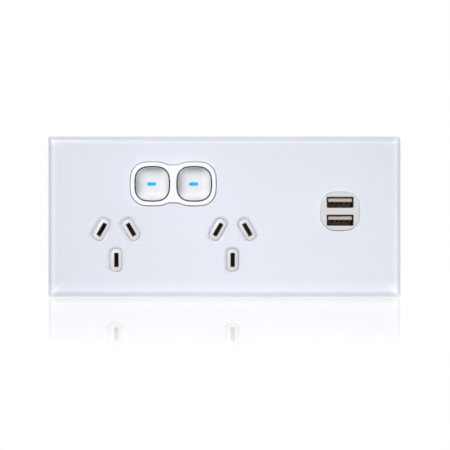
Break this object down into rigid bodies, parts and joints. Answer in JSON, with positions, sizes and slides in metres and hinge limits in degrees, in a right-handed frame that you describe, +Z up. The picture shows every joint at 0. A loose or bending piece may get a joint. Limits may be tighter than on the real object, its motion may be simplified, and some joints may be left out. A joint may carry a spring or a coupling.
{
  "type": "usb wall socket",
  "caption": "Horizontal double wall socket with a bevelled clear front, push switches with lit dashes, flat-pin outlets and stacked USB charging ports, screwed to a wall.",
  "frame": {"origin": "midway between the two wall-screw holes, in the plane of the wall", "axes": "+X along the plate to the USB end, +Y into the wall, +Z up; the front faces -Y"},
  "size_m": [0.165, 0.0385, 0.075],
  "materials": {
    "clear_glass": "polished clear glass with a ground bevel",
    "pale_backing": "pale cool white moulding seen through the glass",
    "white_gloss": "smooth white moulding",
    "button_white": "satin white moulding",
    "blue_window": "translucent blue, lit from behind",
    "frame_white": "white moulding",
    "insert_grey": "fine satin pale grey",
    "plated_steel": "tin-plated sheet",
    "tongue_cream": "cream insulator",
    "contact_bronze": "plated bronze",
    "dark_nylon": "dark nylon",
    "brass_strip": "stamped brass sheet",
    "brass_block": "machined brass",
    "spring_steel": "drawn wire",
    "screw_steel": "zinc-plated",
    "board_green": "solder-masked board",
    "light_lens": "clear resin",
    "component_black": "dark component body",
    "rear_white": "matt off-white moulding"
  },
  "bodies": {
    "fitting": {"glass_fascia": "clear_glass", "fascia_carrier": "pale_backing", "switch_bezel": "white_gloss", "mounting_frame": "frame_white", "usb_insert": "insert_grey", "usb_shell_upper": "plated_steel", "usb_shell_lower": "plated_steel", "usb_tongue_upper": "tongue_cream", "usb_tongue_lower": "tongue_cream", "usb_contacts_upper": "contact_bronze", "usb_contacts_lower": "contact_bronze", "return_spring_left": "spring_steel", "return_spring_right": "spring_steel", "latch_wire_left": "spring_steel", "latch_wire_right": "spring_steel", "active_busbar": "brass_strip", "active_contact_left": "brass_strip", "active_contact_right": "brass_strip", "neutral_busbar": "brass_strip", "earth_busbar": "brass_strip", "active_terminal": "brass_block", "neutral_terminal": "brass_block", "earth_terminal": "brass_block", "terminal_screws": "screw_steel", "housing_screws": "screw_steel", "light_board": "board_green", "indicator_lights": "light_lens", "light_resistors": "component_black", "usb_board": "board_green", "supply_transformer": "component_black", "supply_capacitor": "component_black", "output_capacitors": "component_black", "supply_chip": "component_black", "mechanism_housing": "rear_white", "usb_housing": "rear_white"},
    "left_button": {"button_cap_left": "button_white", "light_window_left": "blue_window", "switch_plunger_left": "dark_nylon", "contact_bridge_left": "brass_strip"},
    "right_button": {"button_cap_right": "button_white", "light_window_right": "blue_window", "switch_plunger_right": "dark_nylon", "contact_bridge_right": "brass_strip"}
  },
  "joints": [
    {"name": "left_press", "type": "slide", "parent": "fitting", "child": "left_button", "axis": [0, 1, 0], "range_m": [0, 0.0025], "stiffness_N_per_m": 600, "springref_m": -0.003, "deforming": ["return_spring_left", "latch_wire_left"]},
    {"name": "right_press", "type": "slide", "parent": "fitting", "child": "right_button", "axis": [0, 1, 0], "range_m": [0, 0.0025], "stiffness_N_per_m": 600, "springref_m": -0.003, "deforming": ["return_spring_right", "latch_wire_right"]}
  ]
}
